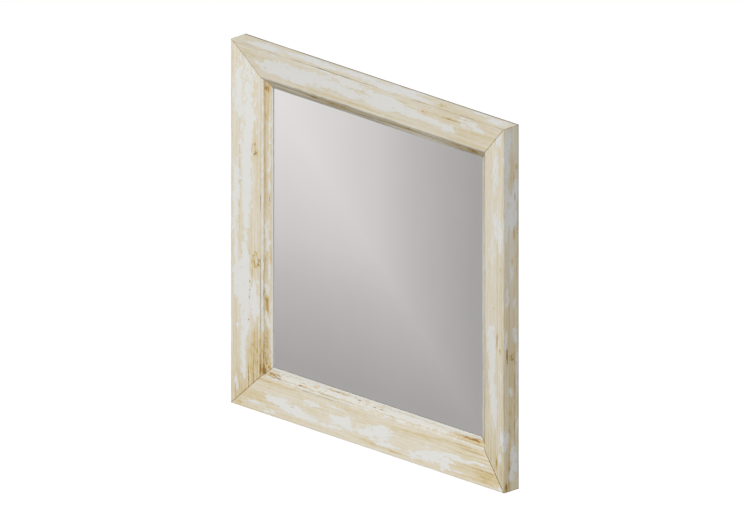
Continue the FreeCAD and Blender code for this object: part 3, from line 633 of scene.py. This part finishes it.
# Painted shade on the hollow band and on the lip, heavy on the top and right slips, where the others get only
# a trace of dirt, and painted shade in the corner under the nose, in the crease and on the sight arris.
BAND_SHADE_AND_DIRT = {"top": 0.48, "right": 0.3, "bottom": 0.03, "left": 0.04}
LIP_SHADE_AND_DIRT = {"top": 0.58, "right": 0.3, "bottom": 0.02, "left": 0.03}
START_SHADE = {"top": 0.1, "right": 0.2, "bottom": 0.16, "left": 0.03}
CREASE_SHADE = {"top": 0.3, "right": 0.2, "bottom": 0.16, "left": 0.1}
SIGHT_SHADE = {"top": 0.8, "right": 0.9, "bottom": 0.0, "left": 0.0}
SLIP_STAIN = {
    "top": ((-138, 5, 14, 1.5, 0.8), (-100, 6, 12, 1.2, 0.8), (-72, 6, 14, 1.2, 0.8), (70, 4, 14, 1, 0.6),
            (180, 5, 20, 2, 0.4), (218, 6, 14, 2.5, 1), (0, 4, 240, 5, 0.2)),
    "right": ((-240, 7, 10, 5, 0.45), (240, 8, 8, 5, 0.45)),
    "bottom": ((-226, 4, 13, 3.5, 0.62), (-225, 0.5, 6, 1.2, 0.9), (-212, 1, 5, 0.9, 0.7),
               (-160, 1, 10, 1.2, 0.8), (-150, 5, 30, 1.2, 0.4), (-212, 4, 14, 2.5, 0.4),
               (-84, 9.4, 28, 1, 0.8), (-38, 8, 9, 1, 0.6), (8, 5, 24, 1, 0.5), (60, 2, 25, 1, 0.4),
               (130, 9.4, 26, 1, 0.5), (195, 5, 42, 5, 0.34), (226, 7, 12, 5, 0.36),
               (190, 6, 35, 1.4, 0.2), (-200, 8, 25, 1, 0.4)),
    "left": ((-200, 4, 38, 5, 0.42), (-235, 2.5, 9, 4, 0.6), (-232, 8, 6, 3, 0.6), (-130, 4, 18, 4, 0.4),
             (-110, 2, 10, 3, 0.5), (-60, 3, 25, 3, 0.34), (30, 4, 60, 4, 0.18), (110, 3, 60, 4, 0.18),
             (200, 3, 40, 3, 0.32), (228, 5, 12, 6, 0.36), (45, 8, 15, 1, 0.4), (0, 0, 240, 1, 0.15),
             (0, 12, 240, 2, 0.26)),
}
band_share = np.linspace(0, 1, 9)[1:-1]
band_run = np.array([LIP_INSET - NOSE_INSET, BAND_FALL])
band_dip = np.array([-BAND_FALL, LIP_INSET - NOSE_INSET]) / np.hypot(*band_run)
band_points = (np.array([NOSE_INSET, LEDGE_DEPTH]) + band_share[:, None] * band_run
               + (4 * BAND_SAG * band_share * (1 - band_share))[:, None] * band_dip)
slip_corners = ((SLIP_OUTER_INSET, LEDGE_DEPTH, INNER_EASE), (NOSE_INSET, LEDGE_DEPTH, 0),
                *[(inset, depth, 0) for inset, depth in band_points],
                (LIP_INSET, LEDGE_DEPTH + BAND_FALL, SLIP_EASE),
                (SIGHT_INSET, LEDGE_DEPTH + BAND_FALL + LIP_FALL, SLIP_EASE),
                (SIGHT_INSET, slip_high.y, INNER_EASE), (SLIP_OUTER_INSET, slip_high.y, INNER_EASE))
slip_outline, slip_normals, slip_walked = rounded_outline(slip_corners, ACROSS_SPACING)
from_start = np.hypot(slip_outline[:, 0] - NOSE_INSET, slip_outline[:, 1] - LEDGE_DEPTH)
band_start = slip_walked[np.argmin(from_start)]
slip_section = (slip_outline, slip_normals, slip_walked - band_start)
crease_mm = np.hypot(*band_run) / MM
lip_edge_mm = crease_mm + LIP_WIDTH / MM


def settled_slip(along, across):
    """How far a slip's skin is sunk: only the slight unevenness of a small planed section."""
    return FILM_OFF + SLIP_UNEVEN * (1 + ripple(7, along, across, 120, 12))


stained_slip = worn_finish(
    "stained_slip", ((0.0, (225, 218, 203)), (0.22, (220, 210, 188)), (0.42, (214, 199, 166)),
                     (0.6, (207, 187, 138)), (0.8, (204, 168, 92)), (1.0, (160, 117, 46))),
    tone(224, 217, 202), tone(225, 223, 216), 0.5, (0.36, 0.64))

# Place of the slips in their board and the step from one to the next, in metres.
SLIP_BOARD = np.array([1.1, 0.4, 0.21])
SLIP_STEP = np.array([1.3, 0.13, 0])
# Cover of whitewash: the thin coat and what white adds. The last millimetres of the lip keep it in full.
SLIP_THIN_COVER = 0.16
SLIP_PATCH_COVER = 0.7
SIGHT_BAND = 2
LIP_SOFTNESS = 0.8
SLIP_MITRE_WIDTH = 1.0
SLIP_CLEAN_DIRT = 0.6
SLIP_STRAY_SHARES = (0.4, 0.5)

for quarters, side in enumerate(SIDES):
    points, along, across, gap, board = sunk_side(
        slip_section, quarters, settled_slip, SLIP_BOARD + SLIP_STEP * quarters)
    stray_along = 4 * ripple(80 + quarters, along, across, 45, 14)
    stray_across = 0.9 * ripple(90 + quarters, along, across, 35, 10)
    white = spread(along + stray_along, across + stray_across, SLIP_WHITE[side])
    lip = climb(across, crease_mm, LIP_SOFTNESS)
    sight_edge = climb(across - lip_edge_mm, -SIGHT_BAND, LIP_SOFTNESS)
    white = np.maximum(white, np.maximum(LIP_WHITE[side] * lip, sight_edge))
    cover = SLIP_THIN_COVER + SLIP_PATCH_COVER * white
    share_along, share_across = SLIP_STRAY_SHARES
    stain = spread(along + share_along * stray_along, across + share_across * stray_across,
                   SLIP_STAIN[side])
    patchy = np.clip(0.62 + 0.3 * ripple(140 + quarters, along, across * 0, 60, 30), 0, 1)
    grime_and_shade = mitre_dirt(along, gap, side, SLIP_MITRE_WIDTH, SLIP_CLEAN_DIRT)
    # Painted shade in lines: in the corner under the nose, in the crease and along the sight arris.
    for place, line_shade in ((0, START_SHADE), (crease_mm, CREASE_SHADE), (lip_edge_mm, SIGHT_SHADE)):
        grime_and_shade += line_shade[side] * patchy * bell(across - place, DIRT_LINE)
    # Painted shade over the band and lip, strongest on the top slip, which lies in shade under the rail.
    grime_and_shade = np.maximum(grime_and_shade, BAND_SHADE_AND_DIRT[side] + (LIP_SHADE_AND_DIRT[side] - BAND_SHADE_AND_DIRT[side]) * lip)
    piece = surface(f"{side}_slip_pine", [points],
                    {"board": board, "cover": cover, "stain": stain, "grime_and_shade": np.clip(grime_and_shade, 0, 1)})
    piece.data.materials.append(stained_slip)
    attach(piece, "frame")
    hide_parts(f"{side}_slip")

# Corner nails. Bright right-angled steel nails, two across each mitre, driven flush from the back by machine
# and dulled since.
handled_metal, metal_in, metal_out = group("handled_metal", [("Place", "NodeSocketVector")],
                                           ["Dull", "Scuff"])
dulling = noise(handled_metal, metal_in["Place"], 160, 4, 0.6)
handled_metal.links.new(ease(handled_metal, dulling, 0.35, 0.7), metal_out["Dull"])
scuffs = noise(handled_metal, stretched(handled_metal, metal_in["Place"], 2600, 300, 900), 1, 2, 0.6)
handled_metal.links.new(ease(handled_metal, scuffs, 0.45, 0.75), metal_out["Scuff"])
SCUFF_RELIEF = 0.00005


def metal_finish(name, bright, dull, smooth, rough):
    """Metal that is bright where it is handled and dull elsewhere, with fine scuffs in gloss and surface."""
    material, tree, shader = finish_of(name)
    place = put(tree, "ShaderNodeTexCoord").outputs["Object"]
    worn = put(tree, "ShaderNodeGroup", {"Place": place}, node_tree=handled_metal).outputs
    tree.links.new(blend(tree, worn["Dull"], bright, dull), shader.inputs["Base Color"])
    gloss = weighed(tree, smooth, (worn["Scuff"], 0.1), (worn["Dull"], rough - smooth))
    tree.links.new(gloss, shader.inputs["Roughness"])
    bumped(tree, shader, worn["Scuff"], 0.25, SCUFF_RELIEF)
    shader.inputs["Metallic"].default_value = 1.0
    return material


def refinish(node, material):
    """Give a piece that keeps its plain shape its finish."""
    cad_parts[node].data.materials.clear()
    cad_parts[node].data.materials.append(material)


nail_steel = metal_finish("nail_steel", tone(190, 190, 188), tone(132, 130, 126), 0.35, 0.6)
refinish("corner_nails", nail_steel)

# Mirror pane. Float glass silvered on its back, cut square and laid in the rebate behind the slips. Painted
# shade greys the silvering for a millimetre along its lower sight edge.
SIGHT_LINE = slip_low.z
SHADE_RIM_TOP = 1.4 * MM
SHADE_RIM_FULL = 0.4 * MM
SHADE_RIM_STRENGTH = 0.75
silvered_glass, tree, shader = finish_of("silvered_glass")
place = put(tree, "ShaderNodeTexCoord").outputs["Object"]
axes = put(tree, "ShaderNodeSeparateXYZ", {0: place}).outputs
# Painted shade: grey laid over the silvering along its lower sight edge.
rim = ease(tree, axes["Z"], SHADE_RIM_TOP - SIGHT_LINE, SHADE_RIM_FULL - SIGHT_LINE)
smear = noise(tree, stretched(tree, place, 7, 7, 5), 1, 3, 0.55)
colour = blend(tree, ease(tree, smear, 0.2, 0.8), tone(243, 243, 243), tone(240, 240, 240))
colour = blend(tree, calc(tree, "MULTIPLY", rim, SHADE_RIM_STRENGTH), colour, tone(150, 147, 140))
tree.links.new(colour, shader.inputs["Base Color"])
gloss = weighed(tree, 0.015, (ease(tree, smear, 0.55, 0.8), 0.03))
tree.links.new(gloss, shader.inputs["Roughness"])
shader.inputs["Metallic"].default_value = 1.0
refinish("mirror_glass", silvered_glass)

# Packing card, edge spacers and back board. Card behind the silvering, small rubber blocks that centre the
# pane, and a sheet of brown hardboard that closes the rebate flush with the frame's back.


def sheet_finish(name, light, dark, fibre_scale, roughness, relief):
    """Pressed sheet: fine fibres and broader clouds of tone between two colours, matt, faintly rough."""
    material, tree, shader = finish_of(name)
    place = put(tree, "ShaderNodeTexCoord").outputs["Object"]
    fibre = noise(tree, place, fibre_scale, 4, 0.7)
    cloud = noise(tree, place, 9, 3, 0.5)
    share = weighed(tree, 0, (fibre, 0.65), (cloud, 0.35))
    tree.links.new(blend(tree, ease(tree, share, 0.32, 0.68), light, dark), shader.inputs["Base Color"])
    tree.links.new(weighed(tree, roughness, (fibre, 0.2)), shader.inputs["Roughness"])
    bumped(tree, shader, fibre, 0.3, relief)
    shader.inputs["Specular IOR Level"].default_value = 0.3
    return material


packing_card = sheet_finish("packing_card", tone(214, 196, 166), tone(188, 166, 132), 700, 0.7, 0.0001)
spacer_rubber = sheet_finish("spacer_rubber", tone(62, 62, 62), tone(40, 40, 41), 1500, 0.65, 0.00008)
hardboard = sheet_finish("hardboard", tone(150, 112, 78), tone(112, 80, 52), 900, 0.5, 0.00012)
refinish("packing_sheet", packing_card)
refinish("edge_spacers", spacer_rubber)
refinish("back_board", hardboard)

# Turn buttons. Teardrops stamped from brass sheet, two on each side, that pivot on a screw in the frame and
# press the back board into the rebate with their noses.
EYE_RADIUS = 5 * MM
NOSE_RADIUS = 3.2 * MM
HOLE_RADIUS = 2 * MM
BUTTON_EASE = 0.35 * MM
HOLE_EASE_WIDTH = 0.3 * MM
HOLE_EASE_DEPTH = 0.2 * MM
BUTTON_ENDS = {"top": ("right", "left"), "right": ("lower", "upper"), "bottom": ("left", "right"),
               "left": ("upper", "lower")}


def round_turn(steps):
    """Directions spread evenly over a full turn, as their cosines and sines."""
    turn = np.linspace(0, 2 * np.pi, steps, endpoint=False)
    return np.stack([np.cos(turn), np.sin(turn)], -1)


def teardrop(out, reach, inset):
    """Outline of a teardrop, for each direction of its outward normal: the farther of two circles, one round
    the pivot and one round the nose that hangs below it, both drawn in by an inset."""
    nose = out * (NOSE_RADIUS - inset) + np.array([0, -reach])
    eye = out * (EYE_RADIUS - inset)
    farther = ((nose - eye) * out).sum(-1) > 0
    return np.where(farther[:, None], nose, eye)


def button_grid(reach, front, back):
    """Rings of a stamped teardrop: from the hole over the front face, round the eased edge by quarter circles
    and back over the rear face to the hole, which closes the ring."""
    out = round_turn(96)
    bore, rim = HOLE_RADIUS * out, (HOLE_RADIUS + HOLE_EASE_WIDTH) * out
    bend = np.linspace(0, np.pi / 2, 5)
    over, under = BUTTON_EASE * (1 - np.sin(bend)), BUTTON_EASE * (1 - np.cos(bend))
    rows = [(bore, front + HOLE_EASE_DEPTH), (rim, front)]
    rows += [(teardrop(out, reach, inset), front + fall) for inset, fall in zip(over, under)]
    rows += [(teardrop(out, reach, inset), back - fall) for inset, fall in zip(under, over)]
    rows += [(rim, back), (bore, back - HOLE_EASE_DEPTH)]
    return np.stack([np.stack([outline[:, 0], np.full(len(out), depth), outline[:, 1]], -1)
                     for outline, depth in rows])


def carried(points, x, z, quarters):
    """Points drawn on the top side about a pivot, carried to a place on another side."""
    turned_x, turned_z = turned(points[..., 0], points[..., 2], quarters)
    return np.stack([turned_x + x, points[..., 1], turned_z + z], -1)


brass = metal_finish("brass_button", tone(222, 190, 122), tone(176, 142, 84), 0.26, 0.45)
pivots = []
for quarters, side in enumerate(SIDES):
    for end in BUTTON_ENDS[side]:
        node = f"turn_button_{side}_{end}"
        low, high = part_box(node)
        sides, heights = np.array([low.x, high.x]), np.array([low.z, high.z])
        drawn_low, drawn_high = sorted(turned(sides, heights, -quarters % 4)[1])
        reach = drawn_high - drawn_low - EYE_RADIUS - NOSE_RADIUS
        shift = turned(0, (drawn_high - drawn_low) / 2 - EYE_RADIUS, quarters)
        x, z = (low.x + high.x) / 2 + shift[0], (low.z + high.z) / 2 + shift[1]
        drop = carried(button_grid(reach, low.y, high.y), x, z, quarters)
        piece = surface(f"{node}_brass", [drop], ring=True)
        piece.data.materials.append(brass)
        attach(piece, node)
        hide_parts(node)
        pivots.append((x, z))

# Screws. Zinc-plated wood screws with a low round head and a cross recess: one through each turn button, two
# through each hanger strap.
HEAD_RADIUS = 3.5 * MM
HEAD_HEIGHT = 2.2 * MM
HEAD_CROWN = 0.8 * MM
SHANK_RADIUS = 1.75 * MM
SCREW_LENGTH = 16 * MM
RECESS_DEPTH = 1.3 * MM
RECESS_REACH = 1.9 * MM
RECESS_HALF_WIDTH = 0.45 * MM
RECESS_END_SLOPE = 0.5 * MM
RECESS_SIDE_SLOPE = 0.3 * MM
POINT_RADIUS = 0.02 * MM
SEAT_EASE = 0.2 * MM
RIM_EASE = 0.15 * MM


def recess_bar(lengthwise, sideways):
    """Share of the recess depth in one bar of the cross, sloping at its end and its sides."""
    within = RECESS_HALF_WIDTH + RECESS_SIDE_SLOPE / 2 - sideways
    return climb(RECESS_REACH - lengthwise, 0, RECESS_END_SLOPE) * climb(within, 0, RECESS_SIDE_SLOPE)


def screw_grid(twist):
    """A screw turned round its axis: pointed shank, flat seat, and a head whose top rises in a parabola from
    rim to middle, less the cross recess, which sinks where a point is near either of two crossed bars."""
    crown = np.linspace(1, 0.01, 26)
    rim = HEAD_HEIGHT - HEAD_CROWN
    stem = np.array([(POINT_RADIUS, -SCREW_LENGTH), (SHANK_RADIUS, 2 * SHANK_RADIUS - SCREW_LENGTH),
                     (SHANK_RADIUS, 0), (HEAD_RADIUS - SEAT_EASE, 0), (HEAD_RADIUS, SEAT_EASE),
                     (HEAD_RADIUS, rim - RIM_EASE)])
    radius = np.concatenate([stem[:, 0], (HEAD_RADIUS - RIM_EASE) * crown])
    rise = np.concatenate([stem[:, 1], rim + HEAD_CROWN * (1 - crown ** 2)])
    across, along = np.moveaxis(radius[:, None, None] * round_turn(72), -1, 0)
    first, second = np.abs(across), np.abs(along)
    sunk = RECESS_DEPTH * np.maximum(recess_bar(first, second), recess_bar(second, first))
    sunk[:len(stem)] = 0
    spin_x = across * np.cos(twist) - along * np.sin(twist)
    spin_z = across * np.sin(twist) + along * np.cos(twist)
    return np.stack([spin_x, rise[:, None] - sunk, spin_z], -1)


screw_steel = metal_finish("screw_steel", tone(214, 208, 190), tone(172, 166, 148), 0.28, 0.5)
strap_low, strap_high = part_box("hanger_strap_right")
hanger_low, hanger_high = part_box("hanger_screws")
hanger_x = (strap_low.x + strap_high.x) / 2
hanger_spots = [(x, z) for x in (hanger_x, -hanger_x)
                for z in (hanger_high.z - HEAD_RADIUS, hanger_low.z + HEAD_RADIUS)]
twists = np.random.default_rng(11).uniform(0, np.pi / 2, 12)
for node, spots, spins in (("turn_button_screws", pivots, twists[:8]),
                           ("hanger_screws", hanger_spots, twists[8:])):
    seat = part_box(node)[1].y - HEAD_HEIGHT
    grids = [screw_grid(spin) + np.array([x, seat, z]) for (x, z), spin in zip(spots, spins)]
    piece = surface(f"{node}_zinc", grids)
    piece.data.materials.append(screw_steel)
    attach(piece, "frame")
    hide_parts(node)

# Hangers. A zinc-plated steel strap on each stile, rolled at its upper end round the bar of a stamped D-ring,
# which swings up to take a hook in the wall.
STRAP_SHEET = 1 * MM
STRAP_CORNER = 4 * MM
STRAP_EASE = 0.2 * MM
RING_STOCK = 2 * MM
RING_CORNER = 2.5 * MM
RING_SPACING = 0.5 * MM
RING_SQUARENESS = 0.4
# The bow's two arcs stop just short of each other.
BOW_SHARE = 0.9999
STRIP_STEPS = 12


def strap_grid(low, high):
    """A strap as one section carried across its width. The section goes up the front of the strip, round the
    outside of the roll, back round its inside and down the rear; the lower end follows rounded corners, and
    the two side edges are drawn in a little."""
    half_width = (high.x - low.x) / 2
    roll = (high.y - low.y) / 2
    eye = roll - STRAP_SHEET
    axis = high.z - roll
    sweep = np.linspace(np.pi, -np.pi / 2, 40)
    outer = np.stack([low.y + roll + roll * np.cos(sweep), axis + roll * np.sin(sweep)], -1)
    inner = np.stack([low.y + roll + eye * np.cos(sweep), axis + eye * np.sin(sweep)], -1)[::-1]
    inner[-1, 0] = low.y + STRAP_SHEET
    strip = np.linspace(0, 1, STRIP_STEPS)
    across = half_width * np.sin(np.linspace(-np.pi / 2, np.pi / 2, 41))
    past = np.clip(np.abs(across) - (half_width - STRAP_CORNER), 0, None)
    lower = low.z + STRAP_CORNER - np.sqrt(np.clip(STRAP_CORNER ** 2 - past ** 2, 0, None))
    draw_in = STRAP_EASE * climb(np.abs(across) - half_width, -2 * STRAP_EASE, 2 * STRAP_EASE) ** 2
    rows = []
    for x, end, thin in zip(across, lower, draw_in):
        front = np.stack([np.full(STRIP_STEPS, low.y), end + strip * (axis - end)], -1)[:-1]
        rear_y = np.full(STRIP_STEPS, low.y + STRAP_SHEET - thin)
        rear = np.stack([rear_y, axis - strip * (axis - end)], -1)[1:]
        section = np.concatenate([front, outer, inner, rear])
        rows.append(np.stack([np.full(len(section), x), section[:, 0], section[:, 1]], -1))
    return np.stack(rows)


def ring_grid(low, high, axis):
    """A D-ring: a square section with eased corners, the powers of a cosine and a sine, carried round a D
    whose bar lies on the swing axis."""
    half_width = (high.x - low.x) / 2 - RING_STOCK / 2
    bow_end, bow = low.z + RING_STOCK / 2, half_width * BOW_SHARE
    path, normals, _ = rounded_outline(
        ((-half_width, axis, RING_CORNER), (half_width, axis, RING_CORNER),
         (half_width, bow_end, bow), (-half_width, bow_end, bow)), RING_SPACING)
    out = round_turn(24)
    square = RING_STOCK / 2 * np.sign(out) * np.abs(out) ** RING_SQUARENESS
    carried_out = path[:, None] + normals[:, None] * square[None, :, :1]
    y = np.broadcast_to((low.y + high.y) / 2 + square[:, 1], carried_out.shape[:2])
    return np.stack([carried_out[..., 0] + (low.x + high.x) / 2, y, carried_out[..., 1]], -1)


zinc_steel = metal_finish("zinc_steel", tone(206, 208, 210), tone(160, 162, 166), 0.3, 0.5)
for hand in ("right", "left"):
    low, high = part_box(f"hanger_strap_{hand}")
    roll = (high.y - low.y) / 2
    grid = strap_grid(low, high)
    grid[..., 0] += (low.x + high.x) / 2
    strap = surface(f"hanger_strap_{hand}_zinc", [grid])
    ring_low, ring_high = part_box(f"d_ring_{hand}")
    ring = surface(f"d_ring_{hand}_zinc", [ring_grid(ring_low, ring_high, high.z - roll)], ring=True)
    for piece, body in ((strap, "frame"), (ring, f"d_ring_{hand}")):
        piece.data.materials.append(zinc_steel)
        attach(piece, body)
        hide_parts(piece.name.removesuffix("_zinc"))

# Wall bumpers. Discs punched from dark rubber sheet, stuck to the backs of the rails to keep the frame and
# its hangers off the wall.
BUMPER_EASE = 0.5 * MM
BUMPER_FOOT_EASE = 0.1 * MM
BUMPER_DISH = 0.15 * MM


def bumper_grid(radius, height):
    """A disc turned round its axis, its outer rim eased by a quarter circle, its face dished by the punch in
    a faint parabola."""
    bend = np.linspace(0, np.pi / 2, 6)
    face = np.linspace(1, 0.01, 12)
    rings = np.concatenate([[0.05 * radius, radius - BUMPER_FOOT_EASE, radius],
                            radius - BUMPER_EASE * (1 - np.cos(bend)), (radius - BUMPER_EASE) * face])
    rise = np.concatenate([[0, 0, BUMPER_FOOT_EASE], height - BUMPER_EASE * (1 - np.sin(bend)),
                           height - BUMPER_DISH * (1 - face ** 2)])
    x, z = np.moveaxis(rings[:, None, None] * round_turn(72), -1, 0)
    return np.stack([x, np.broadcast_to(rise[:, None], x.shape), z], -1)


rubber = sheet_finish("bumper_rubber", tone(70, 70, 71), tone(46, 46, 48), 1200, 0.6, 0.0001)
for rail in ("top", "bottom"):
    for hand in ("right", "left"):
        node = f"wall_bumper_{rail}_{hand}"
        low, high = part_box(node)
        middle = np.array([(low.x + high.x) / 2, low.y, (low.z + high.z) / 2])
        piece = surface(f"{node}_rubber", [bumper_grid((high.x - low.x) / 2, high.y - low.y) + middle])
        piece.data.materials.append(rubber)
        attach(piece, "frame")
        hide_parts(node)

# Studio. A pale floor well below the hanging mirror, white to the camera and, where the glass shows it,
# glowing with painted shade graded by distance from its brightest corner; an even pale room, one broad soft
# lamp in front and above, and a weaker one in front that shows in no metal.
FLOOR_DEPTH = 0.9
FLOOR_REACH = 14
GLASS_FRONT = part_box("mirror_glass")[0].y
# Share of the light that the silvering gives back.
GLASS_GAIN = 0.888
# Brightness of the floor in the glass by distance from its brightest corner, in metres on the glass.
GLASS_GRADE = ((0.0, 225), (0.065, 220), (0.14, 212), (0.215, 203), (0.29, 188), (0.365, 176), (0.43, 166))
GRADE_CORNER = 0.215
GRADE_SPAN = 1.6
# How far green and blue stay behind red there, and the floor's colour farther off, past the glass.
GREEN_LEAN, BLUE_LEAN = 2.5, 4
FAR_FLOOR = ((0.9, 196, 194, 193), (1.5, 214, 213, 212))
# A sight line falls by this much for each metre that it goes away from the glass.
SIGHT_FALL = 0.5
# Glow of the floor to the camera, which the part of its own shaded look beside it brings down to white.
FLOOR_GLOW = 1.13
SHADOW_SHARE = 0.2

floor_mesh = bpy.data.meshes.new("floor")
floor_corners = [(x * FLOOR_REACH, y * FLOOR_REACH, -FLOOR_DEPTH)
                 for x, y in ((-1, -1), (1, -1), (1, 1), (-1, 1))]
floor_mesh.from_pydata(floor_corners, [], [(0, 1, 2, 3)])
floor = bpy.data.objects.new("floor", floor_mesh)
bpy.context.scene.collection.objects.link(floor)
floor_finish, tree, shader = finish_of("pale_floor")
shader.inputs["Base Color"].default_value = tone(230, 230, 230)
shader.inputs["Roughness"].default_value = 0.9
shader.inputs["Specular IOR Level"].default_value = 0.1
place = put(tree, "ShaderNodeSeparateXYZ", {0: put(tree, "ShaderNodeTexCoord").outputs["Object"]}).outputs
sideways = calc(tree, "ADD", calc(tree, "SUBTRACT", place["X"], place["Y"]), GLASS_FRONT + GRADE_CORNER)
downwards = calc(tree, "ADD", calc(tree, "MULTIPLY", place["Y"], SIGHT_FALL),
                 GRADE_CORNER + FLOOR_DEPTH - SIGHT_FALL * GLASS_FRONT)
away = calc(tree, "DIVIDE", calc(tree, "MAXIMUM", sideways, downwards), GRADE_SPAN)
steps = [(distance, level, level - GREEN_LEAN, level - BLUE_LEAN) for distance, level in GLASS_GRADE]
grade = graded(tree, away, [(distance / GRADE_SPAN, (*[share / GLASS_GAIN for share in tone(*colour)[:3]], 1))
                            for distance, *colour in (*steps, *FAR_FLOOR)])
# Painted shade: the floor's glow where the glass shows it follows the grade above and is lit by no lamp.
painted_shade_in_glass = put(tree, "ShaderNodeEmission", {"Color": grade}).outputs[0]
to_camera = put(tree, "ShaderNodeEmission", {"Strength": FLOOR_GLOW}).outputs[0]
path = put(tree, "ShaderNodeLightPath").outputs
own = shader.outputs[0]
seen = put(tree, "ShaderNodeMixShader", {0: SHADOW_SHARE, 1: to_camera, 2: own}).outputs[0]
lit = put(tree, "ShaderNodeMixShader", {0: path["Is Glossy Ray"], 1: own, 2: painted_shade_in_glass}).outputs[0]
shown = put(tree, "ShaderNodeMixShader", {0: path["Is Camera Ray"], 1: lit, 2: seen}).outputs[0]
tree.links.new(shown, tree.nodes["Material Output"].inputs["Surface"])
floor_mesh.materials.append(floor_finish)

ROOM_LIGHT = 0.6
ROOM_IN_METAL = 0.75
ROOM_COLOUR = (0.975, 0.995, 1.025, 1)
world = bpy.data.worlds.new("pale_room")
bpy.context.scene.world = world
world.use_nodes = True
tree = world.node_tree
path = put(tree, "ShaderNodeLightPath").outputs
strength = weighed(tree, ROOM_LIGHT, (path["Is Camera Ray"], 1 - ROOM_LIGHT),
                   (path["Is Glossy Ray"], ROOM_IN_METAL - ROOM_LIGHT))
tree.links.new(strength, tree.nodes["Background"].inputs["Strength"])
tree.nodes["Background"].inputs["Color"].default_value = ROOM_COLOUR

# Place, width and power of each lamp.
LAMPS = {"broad_lamp": ((0.3, -1.75, 2.3), 2.2, 36), "front_lamp": ((0.5, -3.0, 0.5), 1.5, 13)}
LAMP_COLOUR = (1.0, 0.99, 0.965)
lamp_objects = []
for name, (place, size, power) in LAMPS.items():
    lamp = bpy.data.lights.new(name, "AREA")
    lamp.shape = "SQUARE"
    lamp.size = size
    lamp.energy = power
    lamp.color = LAMP_COLOUR
    lamp_object = bpy.data.objects.new(name, lamp)
    lamp_object.location = place
    lamp_object.rotation_mode = "QUATERNION"
    lamp_object.visible_glossy = name != "front_lamp"
    bpy.context.scene.collection.objects.link(lamp_object)
    lamp_objects.append(lamp_object)

VIEW_SCALE = 1.1652
VIEW_DISTANCE = 4.0
AIM = np.array([0, -0.0225, 0])
VIEW_FROM = np.array([2, -2, 1]) / 3
camera = bpy.data.cameras.new("camera")
camera.type = "ORTHO"
camera.ortho_scale = VIEW_SCALE
camera.clip_end = 100
camera_object = bpy.data.objects.new("camera", camera)
camera_object.location = (AIM + VIEW_DISTANCE * VIEW_FROM).tolist()
camera_object.rotation_mode = "QUATERNION"
bpy.context.scene.collection.objects.link(camera_object)
for thing in (camera_object, *lamp_objects):
    toward = type(thing.location)(AIM.tolist()) - thing.location
    thing.rotation_quaternion = toward.to_track_quat("-Z", "Y")
bpy.context.scene.camera = camera_object
bpy.context.scene.view_settings.view_transform = "Standard"
